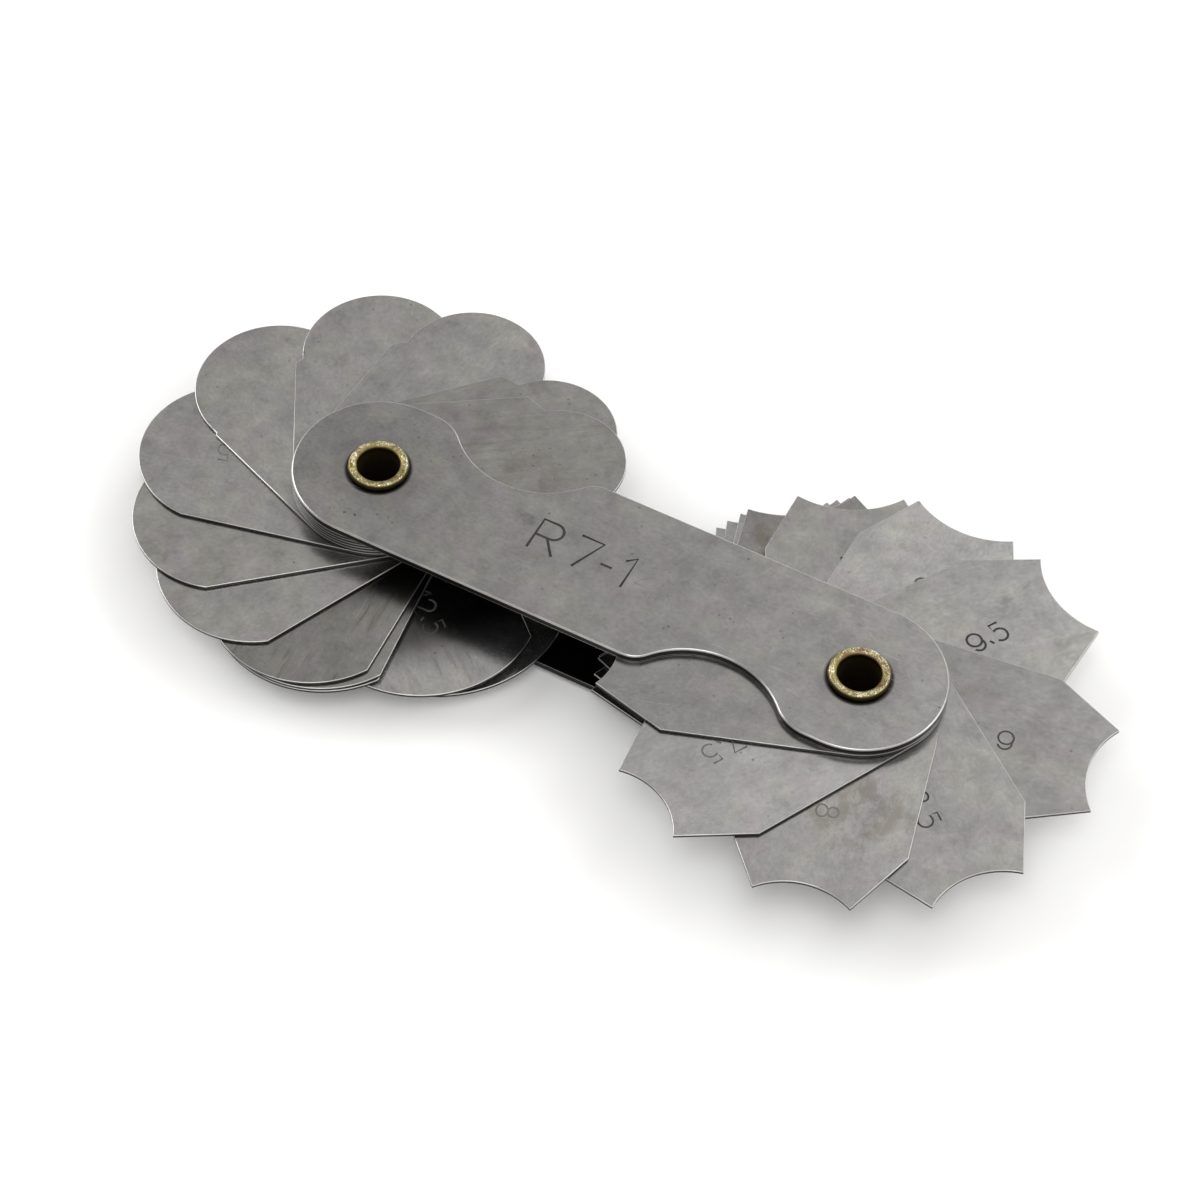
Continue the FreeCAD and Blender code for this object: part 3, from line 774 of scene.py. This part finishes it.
TURN_RADIUS = 1.0 * MM
EYELET_STEPS = 72
DENT_DEPTH = 0.035 * MM
DENT_SIZE = 0.7 * MM
LIP_SEAT_GAP = 0.02 * MM
EYELET_WALL = 0.4 * MM

# The lip's form, as shares of its width or of its height above the plate
OUTER_SHARE = 0.30
SEAT_SHARE = 0.125
DROP_SHARE = 0.8
FLARE_SHARE = 0.5


def eyelet_section(name, bore, lip, low, high, low_seat, high_seat):
    """The closed section of a rolled eyelet in the plane of radius and height, as a curve object."""
    width = lip - bore
    outer = OUTER_SHARE * width
    inner = width - outer
    crest = lip - outer
    seat = lip - SEAT_SHARE * width
    wall = bore + EYELET_WALL
    drop = DROP_SHARE * (high - high_seat)
    flare = FLARE_SHARE * (high - high_seat)
    under_top = high_seat + LIP_SEAT_GAP
    under_low = low_seat - LIP_SEAT_GAP
    points = (arc((crest, high - flare), (inner, flare), 180, 90, 9)
              + arc((crest, high - drop), (outer, drop), 90, 0, 7)[1:]
              + [(seat, under_top), (wall, under_top), (wall, under_low), (seat, under_low)]
              + arc((crest, low + drop), (outer, drop), 0, -90, 7)
              + arc((crest, low + flare), (inner, flare), -90, -180, 9)[1:])
    curve = bpy.data.curves.new(name, "CURVE")
    curve.dimensions = "3D"
    spline = curve.splines.new("POLY")
    spline.points.add(len(points) - 1)
    spline.use_cyclic_u = True
    for point, (radius, height) in zip(spline.points, points):
        point.co = (radius - TURN_RADIUS, -height, 0.0, 1.0)
    section = bpy.data.objects.new(name, curve)
    bpy.context.scene.collection.objects.link(section)
    return section


def eyelet(node, pivot, bore, seed):
    """A rolled brass eyelet that stands for the plain one, in the same room."""
    low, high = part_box(node)
    lip = (high.x - low.x) / 2
    rear_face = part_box("rear_plate")[0].z
    front_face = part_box("front_plate")[1].z
    section = eyelet_section(node + "_section", bore, lip, low.z, high.z, rear_face, front_face)
    middle = (low.z + high.z) / 2
    finish = brass_finish("brass_" + node, tuple(pivot), middle, high.z - middle, seed)
    piece = bpy.data.objects.new(node + "_brass", bpy.data.meshes.new(node + "_brass"))
    bpy.context.scene.collection.objects.link(piece)
    shape = piece.modifiers.new("rolled_eyelet", "NODES")
    shape.node_group = rolled_eyelet
    set_inputs(shape, {"Section": section, "Steps": EYELET_STEPS, "Dent Depth": DENT_DEPTH,
                       "Dent Size": DENT_SIZE, "Seed": seed, "Finish": finish})
    settle(piece)
    bpy.data.objects.remove(section)
    work = bmesh.new()
    work.from_mesh(piece.data)
    bmesh.ops.recalc_face_normals(work, faces=work.faces)
    bmesh.ops.translate(work, verts=work.verts, vec=(pivot.x, pivot.y, 0.0))
    work.to_mesh(piece.data)
    work.free()
    piece.data.shade_smooth()
    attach(piece, "holder")
    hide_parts(node)


# Stage: floor, light and camera

FLOOR_SIZE = 6.0
FLOOR_COLOUR = (0.90, 0.90, 0.90, 1.0)

# The light tent's colours low down, overhead and overhead on the right, and where they meet
SKY_LOW = (1.0, 1.0, 1.0, 1.0)
SKY_HIGH = (0.33, 0.323, 0.312, 1.0)
SKY_HIGH_RIGHT = (1.0, 0.99, 0.98, 1.0)
FRONT_DIM = 0.55
FRONT_TO_BACK = (-0.7, 0.3)
LEFT_TO_RIGHT = (-0.50, 0.10)
LOW_TO_HIGH = (0.05, 0.55)

# Soft boxes: place in m, size in m and power in W
SOFT_BOXES = {
    "key_light": ((1.15, 0.55, 0.9), 0.8, 4.5),
    "back_light": ((0.2, 1.15, 0.85), 0.6, 3.2),
    "left_light": ((-1.25, 0.05, 0.75), 1.0, 10.5),
    "front_light": ((0.15, -0.5, 1.2), 0.6, 3.2),
}


def floor():
    """A plain pale floor right under the part."""
    mesh = bpy.data.meshes.new("studio_floor")
    half = FLOOR_SIZE / 2
    level = cad_box[0][2]
    corners = [(x * half, y * half, level) for x, y in ((-1, -1), (1, -1), (1, 1), (-1, 1))]
    mesh.from_pydata(corners, [], [(0, 1, 2, 3)])
    piece = bpy.data.objects.new("studio_floor", mesh)
    bpy.context.scene.collection.objects.link(piece)
    material, tree = new_finish("floor_paper")
    shown(tree, {"Base Color": FLOOR_COLOUR, "Roughness": 1.0, "Specular IOR Level": 0.0})
    mesh.materials.append(material)


def sky():
    """A plain light tent: white near the floor, and dimmer in front and overhead on the left."""
    world = bpy.data.worlds.new("light_tent")
    bpy.context.scene.world = world
    world.use_nodes = True
    tree = world.node_tree
    tree.nodes.clear()
    direction = Socket.of(tree, "ShaderNodeTexCoord", result="Generated")
    back = direction.axis("Y").step(*FRONT_TO_BACK)
    ring = plain_colour(tree, SKY_LOW) * (FRONT_DIM + (1 - FRONT_DIM) * back)
    right = direction.axis("X").step(*LEFT_TO_RIGHT)
    dome = plain_colour(tree, SKY_HIGH).mixed(SKY_HIGH_RIGHT, right)
    colour = ring.mixed(dome, direction.axis("Z").step(*LOW_TO_HIGH))
    light = Socket.of(tree, "ShaderNodeBackground", {}, {"Color": colour, "Strength": 1.0})
    joined_values(tree.nodes.new("ShaderNodeOutputWorld"), {}, {"Surface": light})


def soft_box(name, place, size, power):
    """A large soft light that faces the part."""
    light = bpy.data.lights.new(name, "AREA")
    light.shape = "SQUARE"
    light.size = size
    light.energy = power
    lamp = bpy.data.objects.new(name, light)
    lamp.location = place
    lamp.rotation_euler = (-Vector(place)).to_track_quat("-Z", "Y").to_euler()
    bpy.context.scene.collection.objects.link(lamp)


def camera():
    """The photograph's camera, from its angles, its distance and the point it looks at."""
    back = Vector((math.sin(VIEW_AZIMUTH) * math.cos(VIEW_ELEVATION),
                   -math.cos(VIEW_AZIMUTH) * math.cos(VIEW_ELEVATION),
                   math.sin(VIEW_ELEVATION)))
    level_right = Vector((math.cos(VIEW_AZIMUTH), math.sin(VIEW_AZIMUTH), 0.0))
    level_up = back.cross(level_right)
    right = level_right * math.cos(VIEW_ROLL) + level_up * math.sin(VIEW_ROLL)
    up = level_up * math.cos(VIEW_ROLL) - level_right * math.sin(VIEW_ROLL)
    lens = bpy.data.cameras.new("photo_camera")
    lens.sensor_fit = "HORIZONTAL"
    lens.sensor_width = SENSOR_WIDTH
    lens.lens = FOCAL_LENGTH
    lens.clip_start = CLIP_START
    lens.clip_end = CLIP_END
    eye = bpy.data.objects.new("photo_camera", lens)
    turned = Matrix((right, up, back)).transposed().to_4x4()
    eye.matrix_world = Matrix.Translation(VIEW_TARGET + back * VIEW_DISTANCE) @ turned
    bpy.context.scene.collection.objects.link(eye)
    bpy.context.scene.camera = eye


floor()
sky()
for name, (place, size, power) in SOFT_BOXES.items():
    soft_box(name, place, size, power)
camera()

number_punch = number_punch_tree()
rolled_eyelet = rolled_eyelet_tree()
struck = struck_finish("struck_number")

pivots = {joint["child"].split("_r")[0]: Vector(joint["pos_m"]) for joint in frame["joints"]}
eyelet_places = [pivot.x / MM for pivot in pivots.values()]
for order, joint in enumerate(frame["joints"]):
    blade(joint, order)
front_plate()
rear_plate()
bores = {mount["name"]: mount["dims"]["r_mm"] * MM for mount in frame["record"]["mounts"]
         if mount["kind"] == "bore"}
for order, (side, pivot) in enumerate(pivots.items()):
    eyelet(side + "_eyelet", pivot, bores[side + "_eyelet_bore"], EYELET_SEED + EYELET_SEED_STEP * order)

bpy.context.scene.view_settings.view_transform = "Standard"
